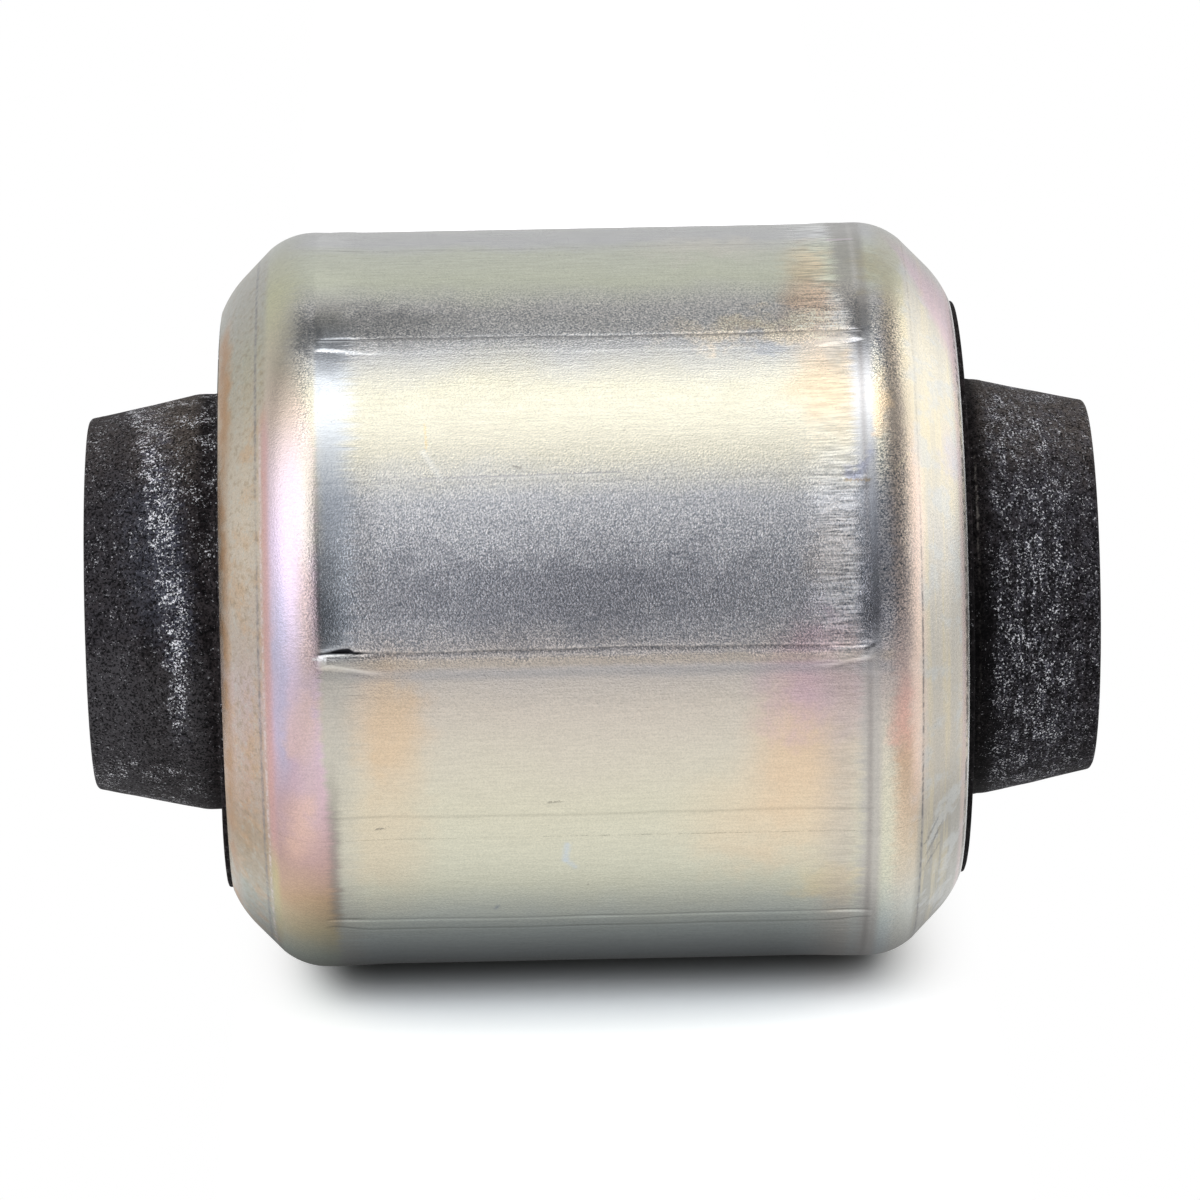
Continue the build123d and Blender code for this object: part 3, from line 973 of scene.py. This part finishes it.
# Its front has to look up, which is -X
if floor_mesh.polygons[0].normal.x > 0:
    floor_mesh.flip_normals()

# The camera sees a pale floor, with a painted shadow under the bush over its real one
SHADOW_MIDDLE = 0.8
g = new_material("pale_floor")
position, z, *_ = bush_places(g)
along_floor = g.size_of(g.node("SeparateXYZ", {0: position}).outputs["Y"])
from_shadow = g.minus(z, SHADOW_MIDDLE)
painted_contact_shadow = g.times(g.step(along_floor, 3, 15, 1, 0), g.between(from_shadow, -20, 4.5, 20, 4.5))
path = g.node("LightPath").outputs
tone = g.minus(1.9, g.times(painted_contact_shadow, 1.64))
tone = g.node("Mix", {"Factor": path["Is Camera Ray"], 2: 0.95, 3: tone}).outputs[0]
tone = g.node("CombineColor", {0: tone, 1: tone, 2: tone}).outputs[0]
paper = g.node("BsdfDiffuse", {"Color": tone}).outputs[0]
# Past the ends of the sleeve the camera sees a plain white floor, without the shadow of the noses
lit = g.node("Emission", {"Color": (1, 1, 1, 1), "Strength": 1}).outputs[0]
plain = g.times(g.step(g.size_of(from_shadow), 17.5, 26.5), path["Is Camera Ray"])
paper = g.mix_shaders(plain, paper, lit)

# The metal sees the floor as a glowing sheet with a painted shadow, brightest a little away from the bush:
# (distance in mm, light). The ramp holds half of the light.
SEEN_FLOOR = (
    (0, 0.05), (7, 0.06), (12, 0.17), (16, 0.33), (20, 0.58), (25, 0.98), (31, 1.06), (60, 1.02),
    (120, 0.9), (250, 0.72),
)
SEEN_REACH = 250
past_end = g.most(g.minus(g.size_of(g.plus(z, 1.5)), 13), 0)
away = g.vector("LENGTH", g.point(along_floor, g.times(past_end, 1.4)))
away = g.math("DIVIDE", away, SEEN_REACH, clamp=True)
seen = g.ramp(away, [(distance / SEEN_REACH, (light / 2,) * 3) for distance, light in SEEN_FLOOR])
# Beside the ends of the bush, a painted shadow of the noses
from_middle = g.size_of(z)
shaded = g.times(g.step(from_middle, 28, 42), g.step(from_middle, 66, 44, 0.3, 1))
strength = g.minus(g.step(from_middle, 90, 220, 2, 2.2), g.times(shaded, 0.45))
seen = g.node("Emission", {"Color": seen, "Strength": strength}).outputs[0]
paper = g.mix_shaders(path["Is Glossy Ray"], paper, seen)
# From below the floor is clear
clear = g.node("BsdfTransparent").outputs[0]
behind = g.node("NewGeometry").outputs["Backfacing"]
shader = g.mix_shaders(behind, paper, clear)
finish_material(g, floor, shader)


# ---- studio

# Brightness of the surroundings by their angle in degrees above the floor in front, over the bush and down
# behind it: in the middle of the picture, to its left, a little to its right, and at the far right
STUDIO = (
    (0, 0.05), (10, 0.05), (18, 0.075), (27, 0.14), (36, 0.3), (46, 0.6), (57, 0.86), (70, 1.6),
    (82, 2.6), (91, 1.45), (97, 0.43), (105, 0.24), (114, 0.22), (121, 0.66), (131, 0.92), (144, 0.72),
    (180, 0.74),
)
LEFT = (
    (0, 0.85), (10, 1.35), (22, 1.6), (72, 1.55), (82, 1.2), (94, 0.6), (104, 0.3), (112, 0.3), (120, 0.6),
    (128, 0.75), (180, 0.66),
)
RIGHT_SHADE = (
    (0, 0.28), (17, 0.26), (30, 0.28), (45, 0.33), (68, 0.34), (80, 0.56), (91, 0.36), (101, 0.36),
    (112, 0.42), (125, 0.5), (140, 0.62), (180, 0.8),
)
RIGHT = (
    (0, 0.5), (17, 0.5), (30, 0.7), (45, 0.85), (65, 0.85), (80, 1.05), (95, 1.3), (110, 1.45), (180, 1.4),
)
# The ramps hold a quarter of the brightness, so that no colour in them is over 1
BRIGHTNESS_SCALE = 4.0
# Below this angle the light is a little blue
BLUE_BELOW = 50.0
BLUE = 0.06

world = bpy.data.worlds.new("studio")
bpy.context.scene.world = world
g = Graph(world)
towards = g.node("TexCoord").outputs["Generated"]
parts = g.node("SeparateXYZ", {0: towards}).outputs
over = g.times(parts["X"], -1)
ahead = g.times(parts["Y"], -1)
along = parts["Z"]
elevation = g.times(g.math("ARCTAN2", over, ahead), 180 / math.pi)
share = g.math("DIVIDE", elevation, 180, clamp=True)


def studio(stops):
    """One side of the studio as a ramp."""
    colours = []
    for degrees, brightness in stops:
        blue = BLUE if degrees < BLUE_BELOW else 0.0
        value = brightness / BRIGHTNESS_SCALE
        colours.append((degrees / 180, (value * (1 - 0.5 * blue), value, value * (1 + blue))))
    return g.ramp(share, colours)


# From the middle of the picture the light goes over to that of each side, with a few dark fields between
sky = studio(STUDIO)
shade = g.times(g.step(along, 0.035, 0.16), g.step(elevation, 75, 54))
sky = g.mix(g.times(shade, 0.7), sky, (0.05, 0.05, 0.053, 1))
notch = g.times(g.step(elevation, 90, 100), g.step(elevation, 126, 114))
towards_left = g.scaled(notch, 0.16, along)
sky = g.mix(g.step(towards_left, 0, -0.16), sky, studio(LEFT))
sky = g.mix(g.step(along, -0.78, -0.95), sky, (0.22, 0.22, 0.22, 1))
sky = g.mix(g.step(along, 0.28, 0.46), sky, studio(RIGHT_SHADE))
towards_right = g.plus(along, g.step(elevation, 90, 108, 0.05, 0.26))
sky = g.mix(g.step(towards_right, 0.75, 0.9), sky, studio(RIGHT))
dim = g.times(g.step(along, 0.9, 0.98), g.step(elevation, 132, 115))
sky = g.mix(dim, sky, (0.31, 0.31, 0.31, 1))
studio_light = g.node("Background", {"Color": sky, "Strength": BRIGHTNESS_SCALE}).outputs[0]
white = g.node("Background", {"Color": (1, 1, 1, 1), "Strength": 1}).outputs[0]
to_camera = g.node("LightPath").outputs["Is Camera Ray"]
shader = g.mix_shaders(to_camera, studio_light, white)
g.node("OutputWorld", {"Surface": shader})


# ---- camera

scene = bpy.context.scene
scene.view_settings.view_transform = "Standard"

# The camera stands at DISTANCE from the middle of the bush, where the picture is FRAME_WIDTH wide, turned a
# little to the side and tilted as the photograph is
DISTANCE = 525 * MM
FRAME_WIDTH = 83.54 * MM
SENSOR_WIDTH = 36.0
ROLL = math.radians(1.15)
YAW = math.radians(0.75)
AIM_RIGHT = 0.654 * MM
AIM_DOWN = 0.418 * MM
back = TO_CAMERA * math.cos(YAW) - PICTURE_RIGHT * math.sin(YAW)
level_right = PICTURE_RIGHT * math.cos(YAW) + TO_CAMERA * math.sin(YAW)
camera_right = level_right * math.cos(ROLL) - PICTURE_UP * math.sin(ROLL)
camera_up = back.cross(camera_right)
lens = bpy.data.cameras.new("camera")
lens.sensor_width = SENSOR_WIDTH
lens.lens = SENSOR_WIDTH * DISTANCE / FRAME_WIDTH
lens.clip_start, lens.clip_end = 0.01, 10.0
camera = bpy.data.objects.new("camera", lens)
scene.collection.objects.link(camera)
scene.camera = camera
turned = Matrix((camera_right, camera_up, back)).transposed()
aim = camera_right * AIM_RIGHT - camera_up * AIM_DOWN
camera.matrix_world = Matrix.Translation(aim + back * DISTANCE) @ turned.to_4x4()
